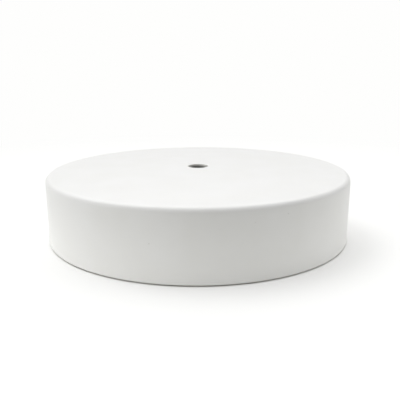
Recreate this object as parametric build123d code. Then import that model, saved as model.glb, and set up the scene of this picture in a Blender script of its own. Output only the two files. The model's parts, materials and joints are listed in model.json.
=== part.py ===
# Ceiling canopy for a pendant lamp: a shallow round cup pressed from one sheet of steel.
# The open side goes against the ceiling and hides the wiring, and the lamp's cord leaves
# through the hole in the middle of the crown.
# The cup stands on its rim, crown up. The origin is the centre of the rim's plane, and +Z is
# the cup's axis, pointing out through the cord hole.

import os
from math import sqrt

from build123d import *

# Driving dimensions, in millimetres.
canopy_diameter = 120.0
canopy_height = 26.3
sheet_thickness = 1.0
crown_radius = 1150.0
seat_diameter = 28.0
bend_inner_radius = 0.9
cord_hole_diameter = 8.0
hole_edge_round = 0.15
rim_chamfer = 0.15

# Radii and heights that follow from them.
outer_radius = canopy_diameter / 2
inner_radius = outer_radius - sheet_thickness
hole_radius = cord_hole_diameter / 2
seat_radius = seat_diameter / 2
seat_underside = canopy_height - sheet_thickness
bend_outer_radius = bend_inner_radius + sheet_thickness
crown_inner_radius = crown_radius - sheet_thickness
crown_centre = canopy_height - sqrt(crown_radius**2 - seat_radius**2)


def crown_height(sphere_radius, distance):
    """Height of the crown's outer or inner sphere at a distance from the axis."""
    return crown_centre + sqrt(sphere_radius**2 - distance**2)


def corner(section, radius, height):
    """The section's vertex at a distance from the axis and a height above the rim."""
    return section.vertices().sort_by_distance((radius, height, 0))[0]


def pressed_section():
    """Half section of the cup in the XZ plane: flat seat, crowned top, bend, wall, rim."""
    # Both spheres share one centre, so the sheet is even, and the inner one meets the seat's
    # underside here.
    seat_inner_radius = sqrt(crown_inner_radius**2 - (seat_underside - crown_centre) ** 2)
    top_corner = (outer_radius, crown_height(crown_radius, outer_radius))
    under_corner = (inner_radius, crown_height(crown_inner_radius, inner_radius))
    with BuildSketch(Plane.XZ) as section:
        with BuildLine():
            Line((hole_radius, canopy_height), (seat_radius, canopy_height))
            RadiusArc((seat_radius, canopy_height), top_corner, crown_radius)
            Polyline(top_corner, (outer_radius, 0), (inner_radius, 0), under_corner)
            RadiusArc((seat_inner_radius, seat_underside), under_corner, crown_inner_radius)
            Polyline(
                (seat_inner_radius, seat_underside),
                (hole_radius, seat_underside),
                (hole_radius, canopy_height),
            )
        make_face()
        # The bend's two arcs share one centre too.
        fillet(corner(section, *top_corner), bend_outer_radius)
        fillet(corner(section, *under_corner), bend_inner_radius)
        # The punch draws the hole's outside edge in, and the trimmed rim is deburred.
        fillet(corner(section, hole_radius, canopy_height), hole_edge_round)
        chamfer(corner(section, outer_radius, 0), rim_chamfer)
        chamfer(corner(section, inner_radius, 0), rim_chamfer)
    return section.sketch


def canopy():
    """The whole cup, its section turned once round the axis."""
    return revolve(pressed_section(), axis=Axis.Z, revolution_arc=360)


os.makedirs("parts", exist_ok=True)
export_step(canopy(), "parts/canopy.step")
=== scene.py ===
"""A pendant lamp's ceiling canopy: one white powder-coated steel cup on a white studio sweep.

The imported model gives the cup's size and place. The visible cup is the same pressed section,
turned finely round its axis, with the film thickness of its coat kept at each point.
"""

import json
import logging
from dataclasses import dataclass, field
from enum import Enum
from math import radians

import bpy
import numpy as np
from mathutils import Matrix, Vector


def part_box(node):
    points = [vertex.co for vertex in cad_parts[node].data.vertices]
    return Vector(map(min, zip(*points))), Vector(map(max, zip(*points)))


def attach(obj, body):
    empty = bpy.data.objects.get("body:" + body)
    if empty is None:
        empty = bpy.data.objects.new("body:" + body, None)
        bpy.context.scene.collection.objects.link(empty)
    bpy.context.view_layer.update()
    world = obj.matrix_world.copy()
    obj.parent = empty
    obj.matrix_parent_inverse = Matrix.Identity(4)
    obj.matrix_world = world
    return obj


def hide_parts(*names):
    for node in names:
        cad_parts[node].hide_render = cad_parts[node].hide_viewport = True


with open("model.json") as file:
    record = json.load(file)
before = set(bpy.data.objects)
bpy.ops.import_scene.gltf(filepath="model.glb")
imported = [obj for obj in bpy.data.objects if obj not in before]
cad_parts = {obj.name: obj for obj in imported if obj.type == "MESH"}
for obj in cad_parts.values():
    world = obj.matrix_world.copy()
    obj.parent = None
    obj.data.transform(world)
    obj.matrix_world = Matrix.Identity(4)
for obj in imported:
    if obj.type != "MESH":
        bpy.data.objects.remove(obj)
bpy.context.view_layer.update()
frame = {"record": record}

log = logging.getLogger("canopy_scene")

MM = 0.001
BLACK = "000000"

# The Mix node has a set of sockets for each type of data, all with the same names, so those of
# its colour set go by index.
MIX_A, MIX_B, MIX_RESULT = 6, 7, 2


def linear(code: str) -> tuple[float, float, float, float]:
    """Turn an sRGB colour into the linear colour that shaders take.

    The sRGB standard's curve is a straight line near black and a power of 2.4 above it.

    Args:
        code: The colour as six hex digits, with or without a leading hash sign.

    Returns:
        Red, green and blue in linear light, and an alpha of 1.
    """
    digits = code.lstrip("#")
    srgb = np.array([int(digits[i : i + 2], 16) for i in (0, 2, 4)]) / 255
    light = np.where(srgb <= 0.04045, srgb / 12.92, ((srgb + 0.055) / 1.055) ** 2.4)
    return (*light.tolist(), 1.0)


def add_node(tree: bpy.types.NodeTree, kind: str, settings: dict | None = None,
             inputs: dict | None = None) -> bpy.types.Node:
    """Add one shader node, set it up and link it.

    Args:
        tree: The node tree that the node goes into.
        kind: Blender's name for the node's type.
        settings: Values of the node's own properties, by name.
        inputs: What each input takes, by socket name or index: a value, or a socket to link.

    Returns:
        The new node.
    """
    node = tree.nodes.new(kind)
    for name, value in (settings or {}).items():
        setattr(node, name, value)
    for name, value in (inputs or {}).items():
        if isinstance(value, bpy.types.NodeSocket):
            tree.links.new(value, node.inputs[name])
        else:
            node.inputs[name].default_value = value
    return node


def seen_by(tree: bpy.types.NodeTree, *kinds: str) -> bpy.types.NodeSocket:
    """Tell a ray of the named kinds from the others.

    Args:
        tree: The node tree that the nodes go into.
        kinds: Kinds of ray, such as "Camera" or "Glossy".

    Returns:
        1 for a ray of one of the kinds, and 0 for any other.
    """
    path = add_node(tree, "ShaderNodeLightPath")
    found = path.outputs[f"Is {kinds[0]} Ray"]
    for kind in kinds[1:]:
        either = add_node(tree, "ShaderNodeMath", {"operation": "MAXIMUM"},
                          {0: found, 1: path.outputs[f"Is {kind} Ray"]})
        found = either.outputs["Value"]
    return found


def new_material(name: str) -> tuple[bpy.types.Material, bpy.types.NodeTree]:
    """Make an empty node material.

    Args:
        name: The material's name.

    Returns:
        The material and its node tree, with no nodes in it.
    """
    material = bpy.data.materials.new(name)
    material.use_nodes = True
    material.node_tree.nodes.clear()
    return material, material.node_tree


@dataclass(frozen=True)
class Speck:
    """A dust nib that was baked into the coat: its place on the wall and its width.

    Attributes:
        turn: Degrees round the axis from +X, seen from above and counted anticlockwise.
        height: Millimetres above the rim.
        width: Millimetres across.
    """

    turn: float
    height: float
    width: float


@dataclass(frozen=True)
class PowderCoat:
    """Satin white polyester powder coat on pressed steel, sprayed dry and baked.

    The powder melts and flows out in the oven, which leaves a soft even sheen with a very
    faint orange peel and no brush or tool marks. The film thins on sharp edges and on the
    side turned away from the gun, where the colour falls off a little towards the metal.
    That thin film's dark warm tone is also partly painted shade: it darkens and warms the
    rim, where the dark line round the foot lies, and the inside seen through the hole.
    The IOR starts from polyester's 1.5 and comes down to the cup's own soft sheen.

    Attributes:
        full_film: Colour of the coat at its full thickness.
        thin_film_and_painted_shade: Colour of a film so thin that the steel greys it, made
        darker and warmer as painted shade on the rim at the foot and on the hole's inside.
        dust: Colour of the dust nibs.
        roughness: Roughness of the satin surface.
        ior: Index of refraction.
        peel_width: Millimetres from crest to crest of the orange peel.
        peel_depth: Millimetres that the orange peel rises.
        peel_detail: Finer steps of the orange peel's noise.
        cloud_width: Millimetres across one thin patch of the film.
        cloud_share: Share of a full film that the thinnest patch lacks.
        cloud_detail: Finer steps of the patches' noise.
        cloud_span: Noise values at a patch's thinnest and at the full film.
        speck_blur: Share of a nib's width over which its edge fades.
        specks: The dust nibs.
    """

    full_film: str = "F0F0EF"
    thin_film_and_painted_shade: str = "C4C3B0"
    dust: str = "B4B2AA"
    roughness: float = 0.42
    ior: float = 1.43
    peel_width: float = 1.8
    peel_depth: float = 0.0025
    peel_detail: float = 1.0
    cloud_width: float = 14.0
    cloud_share: float = 0.06
    cloud_detail: float = 2.0
    cloud_span: tuple[float, float] = (0.3, 0.7)
    speck_blur: float = 0.3
    specks: tuple[Speck, ...] = (
        Speck(-103.83, 13.13, 0.22),
        Speck(-72.28, 19.60, 0.18),
        Speck(-61.15, 21.13, 0.24),
    )

    def material(self, wall_radius: float) -> bpy.types.Material:
        """Build the coat's material.

        Args:
            wall_radius: Radius of the wall that the specks lie on, in metres.

        Returns:
            A material that reads the piece's Object coordinates and its film attribute.
        """
        material, tree = new_material("satin_polyester_powder_coat")
        place = add_node(tree, "ShaderNodeTexCoord").outputs["Object"]
        film = add_node(tree, "ShaderNodeAttribute", {"attribute_name": "film"}).outputs["Fac"]
        colour = self._colour(tree, place, film)
        for speck in self.specks:
            colour = self._with_speck(tree, place, colour, speck, wall_radius)
        shader = add_node(tree, "ShaderNodeBsdfPrincipled", inputs={
            "Base Color": colour,
            "Roughness": self.roughness,
            "IOR": self.ior,
            "Normal": self._peel(tree, place),
        })
        add_node(tree, "ShaderNodeOutputMaterial", inputs={"Surface": shader.outputs["BSDF"]})
        return material

    def _colour(self, tree: bpy.types.NodeTree, place: bpy.types.NodeSocket,
                film: bpy.types.NodeSocket) -> bpy.types.NodeSocket:
        """Mix the thin film's colour into the full one, by film thickness and a faint cloud.

        Args:
            tree: The material's node tree.
            place: The Object coordinates.
            film: The film thickness, where 1 is a full film.

        Returns:
            The colour of the coat.
        """
        cloud = add_node(tree, "ShaderNodeTexNoise", inputs={
            "Vector": place,
            "Scale": 1 / (self.cloud_width * MM),
            "Detail": self.cloud_detail,
        })
        thinnest, full = self.cloud_span
        uneven = add_node(tree, "ShaderNodeMapRange", inputs={
            "Value": cloud.outputs["Fac"],
            "From Min": thinnest, "From Max": full,
            "To Min": -self.cloud_share, "To Max": 0.0,
        })
        cover = add_node(tree, "ShaderNodeMath", {"operation": "ADD", "use_clamp": True},
                         {0: film, 1: uneven.outputs["Result"]})
        # The thin film's colour is partly painted shade: where the share is low, on the rim and
        # inside, it darkens and warms the coat.
        mix = add_node(tree, "ShaderNodeMix", {"data_type": "RGBA"}, {
            "Factor": cover.outputs["Value"],
            MIX_A: linear(self.thin_film_and_painted_shade),
            MIX_B: linear(self.full_film),
        })
        return mix.outputs[MIX_RESULT]

    def _with_speck(self, tree: bpy.types.NodeTree, place: bpy.types.NodeSocket,
                    colour: bpy.types.NodeSocket, speck: Speck,
                    wall_radius: float) -> bpy.types.NodeSocket:
        """Lay one speck over the coat's colour.

        Args:
            tree: The material's node tree.
            place: The Object coordinates.
            colour: The colour so far.
            speck: The speck.
            wall_radius: Radius of the wall that it lies on, in metres.

        Returns:
            The colour with the speck in it.
        """
        turn = radians(speck.turn)
        centre = (wall_radius * np.cos(turn), wall_radius * np.sin(turn), speck.height * MM)
        reach = add_node(tree, "ShaderNodeVectorMath", {"operation": "DISTANCE"},
                         {0: place, 1: centre})
        radius = speck.width / 2 * MM
        inside = add_node(tree, "ShaderNodeMapRange", {"interpolation_type": "SMOOTHSTEP"}, {
            "Value": reach.outputs["Value"],
            "From Min": radius * (1 - self.speck_blur),
            "From Max": radius * (1 + self.speck_blur),
            "To Min": 1.0, "To Max": 0.0,
        })
        mix = add_node(tree, "ShaderNodeMix", {"data_type": "RGBA"}, {
            "Factor": inside.outputs["Result"], MIX_A: colour, MIX_B: linear(self.dust),
        })
        return mix.outputs[MIX_RESULT]

    def _peel(self, tree: bpy.types.NodeTree,
              place: bpy.types.NodeSocket) -> bpy.types.NodeSocket:
        """Bend the normal by the orange peel, a low smooth relief about 2 mm from crest to crest.

        Args:
            tree: The material's node tree.
            place: The Object coordinates.

        Returns:
            The bent normal.
        """
        relief = add_node(tree, "ShaderNodeTexNoise", inputs={
            "Vector": place,
            "Scale": 1 / (self.peel_width * MM),
            "Detail": self.peel_detail,
        })
        bump = add_node(tree, "ShaderNodeBump", inputs={
            "Height": relief.outputs["Fac"], "Strength": 1.0, "Distance": self.peel_depth * MM,
        })
        return bump.outputs["Normal"]


@dataclass(frozen=True)
class SweepPaper:
    """Matt white studio paper, rolled out flat under the cup.

    The camera and glossy rays see it near white, with the cup's own soft shadow on it. For
    other rays it is a faintly warm white sheet round the cup with the dark room beyond it,
    which lights the wall from below, and more at its foot than under the bend.

    Attributes:
        white: Colour that the camera sees.
        glow: Colour of the light that the sheet throws back.
        lit_share: Share of the seen floor near the cup that takes light and shadow. The rest
            gives its own white.
        bounce: Share of the light that the sheet throws back.
        room: The same for the room beyond it.
        sheet_radius: Millimetres from the axis to the sheet's edge.
        sheet_blur: Share of that radius over which the edge fades, inwards and outwards.
        cup_radius: Millimetres from the axis to the cup's foot. Inside it all is lit floor.
        foot_blur: Millimetres over which that ends.
        shadow_radius: Millimetres from the axis to where the shadow starts to fade.
        fade_radius: Millimetres from the axis to where it is gone.
    """

    white: str = "FEFEFD"
    glow: str = "FFFFFA"
    lit_share: float = 0.66
    bounce: float = 0.85
    room: float = 0.05
    sheet_radius: float = 121.0
    sheet_blur: float = 0.2
    cup_radius: float = 60.0
    foot_blur: float = 0.3
    shadow_radius: float = 94.0
    fade_radius: float = 298.0

    def material(self) -> bpy.types.Material:
        """Build the paper's material.

        Returns:
            A material that reads the surface's own position.
        """
        material, tree = new_material("sweep_paper")
        place = add_node(tree, "ShaderNodeTexCoord").outputs["Object"]
        reach = add_node(tree, "ShaderNodeVectorMath", {"operation": "LENGTH"}, {0: place})
        sheet = add_node(tree, "ShaderNodeMapRange", {"interpolation_type": "SMOOTHSTEP"}, {
            "Value": reach.outputs["Value"],
            "From Min": self.sheet_radius * (1 - self.sheet_blur) * MM,
            "From Max": self.sheet_radius * (1 + self.sheet_blur) * MM,
            "To Min": self.bounce, "To Max": self.room,
        })
        warm = add_node(tree, "ShaderNodeMix", {"data_type": "RGBA"}, {
            "Factor": sheet.outputs["Result"], MIX_A: linear(BLACK), MIX_B: linear(self.glow),
        })
        sheet_light = add_node(tree, "ShaderNodeBsdfDiffuse", inputs={
            "Color": warm.outputs[MIX_RESULT],
        })
        lit = add_node(tree, "ShaderNodeBsdfDiffuse", inputs={"Color": linear(self.white)})
        plain = add_node(tree, "ShaderNodeEmission", inputs={"Color": linear(self.white)})
        shade = add_node(tree, "ShaderNodeMapRange", {"interpolation_type": "SMOOTHSTEP"}, {
            "Value": reach.outputs["Value"],
            "From Min": self.shadow_radius * MM, "From Max": self.fade_radius * MM,
            "To Min": self.lit_share, "To Max": 0.0,
        })
        under = add_node(tree, "ShaderNodeMapRange", {"interpolation_type": "SMOOTHSTEP"}, {
            "Value": reach.outputs["Value"],
            "From Min": self.cup_radius * MM, "From Max": (self.cup_radius + self.foot_blur) * MM,
            "To Min": 1.0, "To Max": 0.0,
        })
        share = add_node(tree, "ShaderNodeMath", {"operation": "MAXIMUM"}, {
            0: shade.outputs["Result"], 1: under.outputs["Result"],
        })
        view = add_node(tree, "ShaderNodeMixShader", inputs={
            0: share.outputs["Value"], 1: plain.outputs["Emission"], 2: lit.outputs["BSDF"],
        })
        paper = add_node(tree, "ShaderNodeMixShader", inputs={
            0: seen_by(tree, "Camera", "Glossy", "Transmission"),
            1: sheet_light.outputs["BSDF"], 2: view.outputs["Shader"],
        })
        add_node(tree, "ShaderNodeOutputMaterial", inputs={"Surface": paper.outputs["Shader"]})
        return material


class Side(Enum):
    """The parts of the sheet's skin, each with its share of a full film.

    The outside faces the gun. The pierced edge of the hole and the trimmed rim are sharp and
    hold less powder, and the inside gets only what drifts round. The rim's low share is also
    painted shade: it darkens and warms the rim along the dark line round the foot.
    """

    OUTSIDE = 1.0
    PIERCED = 0.75
    INSIDE = 0.45
    # Partly painted shade: the rim's low share darkens it along the dark line round the foot.
    RIM_AND_PAINTED_SHADE = 0.6


@dataclass
class PressedCup:
    """The canopy itself: one cup pressed from sheet steel, pierced, trimmed and coated.

    Attributes:
        radius: Outside radius of the wall, in metres.
        height: Height from the rim to the crown's upper face, in metres.
        sheet: Thickness of the sheet, in metres.
        hole_radius: Radius of the cord hole, in metres.
        seat_radius: Radius of the flat seat round the hole, in metres.
        crown_radius: Radius of the sphere that the top belongs to outside its seat, in metres.
        bend_inside: Inside radius of the bend from crown to wall, in metres.
        hole_round: Radius of the hole's drawn-in upper edge, in metres.
        rim_round: Radius of the rim's two edges, in metres.
        turns: Points round the axis.
        coat: The finish.
    """

    radius: float
    height: float
    sheet: float
    hole_radius: float
    seat_radius: float = 14.0 * MM
    crown_radius: float = 1150.0 * MM
    bend_inside: float = 0.9 * MM
    hole_round: float = 0.15 * MM
    rim_round: float = 0.15 * MM
    turns: int = 480
    coat: PowderCoat = field(default_factory=PowderCoat)

    @classmethod
    def from_frame(cls, coat: PowderCoat) -> "PressedCup":
        """Take the cup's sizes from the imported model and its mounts.

        Args:
            coat: The finish.

        Returns:
            The cup.
        """
        low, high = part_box("canopy")
        mounts = {mount["name"]: mount for mount in frame["record"]["mounts"]}
        faces = [mounts[name]["pos_m"][2] for name in ("crown_inside", "crown_outside")]
        return cls(
            radius=(high.x - low.x) / 2,
            height=high.z - low.z,
            sheet=faces[1] - faces[0],
            hole_radius=mounts["cord_hole"]["dims"]["r_mm"] * MM,
            coat=coat,
        )

    @property
    def crown_centre(self) -> float:
        """Height of the crown's centre, which lies far below the rim."""
        return self.height - np.sqrt(self.crown_radius**2 - self.seat_radius**2)

    @staticmethod
    def _line(start: tuple[float, float], end: tuple[float, float], steps: int) -> np.ndarray:
        """Points of a straight stretch, drawn together towards both ends.

        The share of the way at step k is half of one minus the cosine of pi k / steps.

        Args:
            start: Distance from the axis and height of the first point.
            end: The same of the point after the last, which isn't included.
            steps: Number of points.

        Returns:
            An array of steps rows, each a distance from the axis and a height.
        """
        share = (1 - np.cos(np.pi * np.arange(steps) / steps)) / 2
        return np.array(start) + share[:, None] * (np.array(end) - np.array(start))

    @staticmethod
    def _arc(centre: tuple[float, float], radius: float, start: float, end: float,
             steps: int) -> np.ndarray:
        """Points of an arc at even angles, without its last one.

        Each point is the centre plus the radius times the cosine and sine of its angle.

        Args:
            centre: Distance from the axis and height of the arc's centre.
            radius: The arc's radius.
            start: First angle, in degrees, from the direction away from the axis.
            end: Last angle, in degrees.
            steps: Number of points.

        Returns:
            An array of steps rows, each a distance from the axis and a height.
        """
        angle = np.radians(np.linspace(start, end, steps, endpoint=False))
        return np.array(centre) + radius * np.stack([np.cos(angle), np.sin(angle)], axis=1)

    def _crown(self, start: float, end: float, depth: float, steps: int) -> np.ndarray:
        """Points across the crowned top, or across the sheet at a depth below it.

        The height is the crown centre's plus the root of the sphere's radius squared less the
        distance squared, and level where that would rise above the seat.

        Args:
            start: Distance of the first point from the axis.
            end: The same of the point after the last, which isn't included.
            depth: Depth below the top.
            steps: Number of points.

        Returns:
            An array of steps rows, each a distance from the axis and a height.
        """
        level = self.height - depth
        points = self._line((start, level), (end, level), steps)
        rise = np.sqrt((self.crown_radius - depth) ** 2 - points[:, 0] ** 2)
        points[:, 1] = np.minimum(level, self.crown_centre + rise)
        return points

    def section(self) -> tuple[np.ndarray, np.ndarray]:
        """Half section of the sheet, once round, from the rim's outer edge up and back inside.

        Both arcs of the bend share one centre, because the sheet keeps its thickness there,
        and each touches its side of the crown on the line from that centre to the crown's.
        Each stretch starts where the last one ended, and its last figure is its number of
        points.

        Returns:
            The points, as rows of distance from the axis and height, and the share of a full
            film at each.
        """
        outer, inner, top = self.radius, self.radius - self.sheet, self.height
        hole, lip, foot = self.hole_radius, self.hole_round, self.rim_round
        bend_in, bend_out = self.bend_inside, self.bend_inside + self.sheet
        way_out, apart = outer - bend_out, self.crown_radius - bend_out
        bend = (way_out, self.crown_centre + np.sqrt(apart**2 - way_out**2))
        turned = np.degrees(np.arccos(way_out / apart))
        touch_out = self.crown_radius * way_out / apart
        touch_in = (self.crown_radius - self.sheet) * way_out / apart
        stretches = [
            (Side.RIM_AND_PAINTED_SHADE, self._arc((outer - foot, foot), foot, -90, 0, 8)),
            (Side.OUTSIDE, self._line((outer, foot), (outer, bend[1]), 18)),
            (Side.OUTSIDE, self._arc(bend, bend_out, 0, turned, 24)),
            (Side.OUTSIDE, self._crown(touch_out, hole + lip, 0, 48)),
            (Side.PIERCED, self._arc((hole + lip, top - lip), lip, 90, 180, 8)),
            (Side.PIERCED, self._line((hole, top - lip), (hole, top - self.sheet), 4)),
            (Side.INSIDE, self._crown(hole, touch_in, self.sheet, 36)),
            (Side.INSIDE, self._arc(bend, bend_in, turned, 0, 16)),
            (Side.INSIDE, self._line((inner, bend[1]), (inner, foot), 14)),
            (Side.RIM_AND_PAINTED_SHADE, self._arc((inner + foot, foot), foot, 180, 270, 8)),
        ]
        points = np.concatenate([rows for _, rows in stretches])
        film = np.concatenate([np.full(len(rows), side.value) for side, rows in stretches])
        return points, film

    def build(self) -> bpy.types.Object:
        """Turn the section round the axis and coat it.

        The point at section step i and turn j stands at the section's distance from the axis
        times the cosine and sine of the angle j, and at the section's height.

        Returns:
            The finished piece.
        """
        points, film = self.section()
        steps, turns = len(points), self.turns
        angle = np.linspace(0, 2 * np.pi, turns, endpoint=False)
        places = np.stack([
            points[:, :1] * np.cos(angle),
            points[:, :1] * np.sin(angle),
            np.repeat(points[:, 1:], turns, axis=1),
        ], axis=-1).reshape(-1, 3)
        row, column = np.meshgrid(np.arange(steps), np.arange(turns), indexing="ij")
        next_row, next_column = (row + 1) % steps, (column + 1) % turns
        faces = np.stack([
            row * turns + column, row * turns + next_column,
            next_row * turns + next_column, next_row * turns + column,
        ], axis=-1).reshape(-1, 4)
        mesh = bpy.data.meshes.new("canopy_skin")
        mesh.from_pydata(places, [], faces.tolist())
        mesh.shade_smooth()
        layer = mesh.attributes.new("film", "FLOAT", "POINT")
        layer.data.foreach_set("value", np.repeat(film, turns).astype(np.float32))
        mesh.materials.append(self.coat.material(self.radius))
        piece = bpy.data.objects.new("canopy_skin", mesh)
        bpy.context.scene.collection.objects.link(piece)
        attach(piece, "root")
        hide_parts("canopy")
        return piece


@dataclass(frozen=True)
class SoftLight:
    """One broad lamp: where it stands, how wide it looks from the cup, and its strength.

    Attributes:
        name: The lamp's name.
        turn: Degrees round the axis from +X.
        rise: Degrees above the floor.
        width: Width of the lamp as seen from the cup, in degrees.
        strength: Watts on each square metre turned to it.
        in_sheen: Whether gloss shows the lamp. The two strips stand so low that the top, seen
            from across the cup, would mirror them as plain white.
    """

    name: str
    turn: float
    rise: float
    width: float
    strength: float
    in_sheen: bool = True

    def build(self) -> bpy.types.Object:
        """Hang the lamp, turned to the cup."""
        data = bpy.data.lights.new(self.name, "SUN")
        data.angle = radians(self.width)
        data.energy = self.strength
        lamp = bpy.data.objects.new(self.name, data)
        turn, rise = radians(self.turn), radians(self.rise)
        towards = Vector((np.cos(turn) * np.cos(rise), np.sin(turn) * np.cos(rise), np.sin(rise)))
        lamp.rotation_euler = towards.to_track_quat("Z", "Y").to_euler()
        # A sun shines alike from any place: this one only shows where the lamp stands.
        lamp.location = towards
        lamp.visible_glossy = self.in_sheen
        bpy.context.scene.collection.objects.link(lamp)
        return lamp


@dataclass
class Studio:
    """The white sweep under and behind the cup, and the soft lamps round it.

    Attributes:
        paper: The sweep's material.
        reach: Half the width of the sweep, in metres.
        foot_gap: How far the paper lies below the rim, in millimetres: the trimmed rim isn't
            quite true and bears on a few high spots, so a dark line runs round the foot.
        mirrored: Level of the room as the coat's sheen shows it.
        fill: Level of the room's own light.
        lamps: The lamps.
    """

    paper: SweepPaper = field(default_factory=SweepPaper)
    reach: float = 20.0
    foot_gap: float = 0.44
    mirrored: float = 0.31
    fill: float = 0.21
    lamps: tuple[SoftLight, ...] = (
        SoftLight("overhead_softbox", 20.0, 58.7, 122.0, 0.884),
        SoftLight("back_left_softbox", 115.0, 57.1, 65.0, 1.369),
        SoftLight("left_strip", 202.1, 6.7, 51.0, 1.825, in_sheen=False),
        SoftLight("right_strip", 3.2, 3.0, 48.0, 1.345, in_sheen=False),
        SoftLight("left_softbox", 157.0, 58.2, 34.0, 0.544),
    )

    def floor(self) -> bpy.types.Object:
        """Lay the paper: one square sheet just below the rim's plane."""
        mesh = bpy.data.meshes.new("sweep")
        corners = np.array([[-1, -1, 0], [1, -1, 0], [1, 1, 0], [-1, 1, 0]]) * self.reach
        corners[:, 2] = -self.foot_gap * MM
        mesh.from_pydata(corners, [], [(0, 1, 2, 3)])
        mesh.materials.append(self.paper.material())
        sheet = bpy.data.objects.new("sweep", mesh)
        bpy.context.scene.collection.objects.link(sheet)
        return sheet

    def surround(self) -> bpy.types.World:
        """Make the world: the paper's white to the camera, and dimmer to gloss and to the rest."""
        world = bpy.data.worlds.new("white_surround")
        world.use_nodes = True
        tree = world.node_tree
        tree.nodes.clear()
        felt = add_node(tree, "ShaderNodeMix", inputs={
            "Factor": seen_by(tree, "Glossy"), "A": self.fill, "B": self.mirrored,
        })
        strength = add_node(tree, "ShaderNodeMix", inputs={
            "Factor": seen_by(tree, "Camera", "Transmission"),
            "A": felt.outputs["Result"], "B": 1.0,
        })
        light = add_node(tree, "ShaderNodeBackground", inputs={
            "Color": linear(self.paper.white), "Strength": strength.outputs["Result"],
        })
        add_node(tree, "ShaderNodeOutputWorld", inputs={"Surface": light.outputs["Background"]})
        bpy.context.scene.world = world
        return world

    def build(self) -> None:
        """Lay the floor, make the surround and hang every lamp."""
        self.floor()
        self.surround()
        for lamp in self.lamps:
            lamp.build()


@dataclass(frozen=True)
class Viewpoint:
    """Where the photograph was taken from.

    Attributes:
        place: The lens, in millimetres in the cup's frame.
        yaw: Degrees to the right of +Y.
        pitch: Degrees below the horizon.
        roll: Degrees that the camera is turned anticlockwise.
        lens: Focal length, in millimetres, for a frame as wide as the sensor.
        sensor: Width of the sensor, in millimetres.
        nearest: Distance from the lens where the picture starts, in millimetres.
    """

    place: tuple[float, float, float] = (2.95, -212.10, 66.62)
    yaw: float = -0.587
    pitch: float = 14.446
    roll: float = -0.195
    lens: float = 47.699
    sensor: float = 36.0
    nearest: float = 10.0

    def build(self) -> bpy.types.Object:
        """Set up the camera and make it the scene's own.

        Returns:
            The camera.
        """
        data = bpy.data.cameras.new("camera")
        data.sensor_width = self.sensor
        data.lens = self.lens
        data.clip_start = self.nearest * MM
        camera = bpy.data.objects.new("camera", data)
        camera.matrix_world = (
            Matrix.Translation(Vector(self.place) * MM)
            @ Matrix.Rotation(radians(-self.yaw), 4, "Z")
            @ Matrix.Rotation(radians(90 - self.pitch), 4, "X")
            @ Matrix.Rotation(radians(self.roll), 4, "Z")
        )
        bpy.context.scene.collection.objects.link(camera)
        bpy.context.scene.camera = camera
        return camera


def main() -> None:
    """Build the cup, the studio and the camera."""
    logging.basicConfig(level=logging.INFO, format="%(name)s: %(message)s")
    bpy.context.scene.view_settings.view_transform = "Standard"
    cup = PressedCup.from_frame(PowderCoat()).build()
    log.info("%s: %d points, %d faces", cup.name, len(cup.data.vertices), len(cup.data.polygons))
    Studio().build()
    Viewpoint().build()
    bpy.context.view_layer.update()


if __name__ == "__main__":
    main()
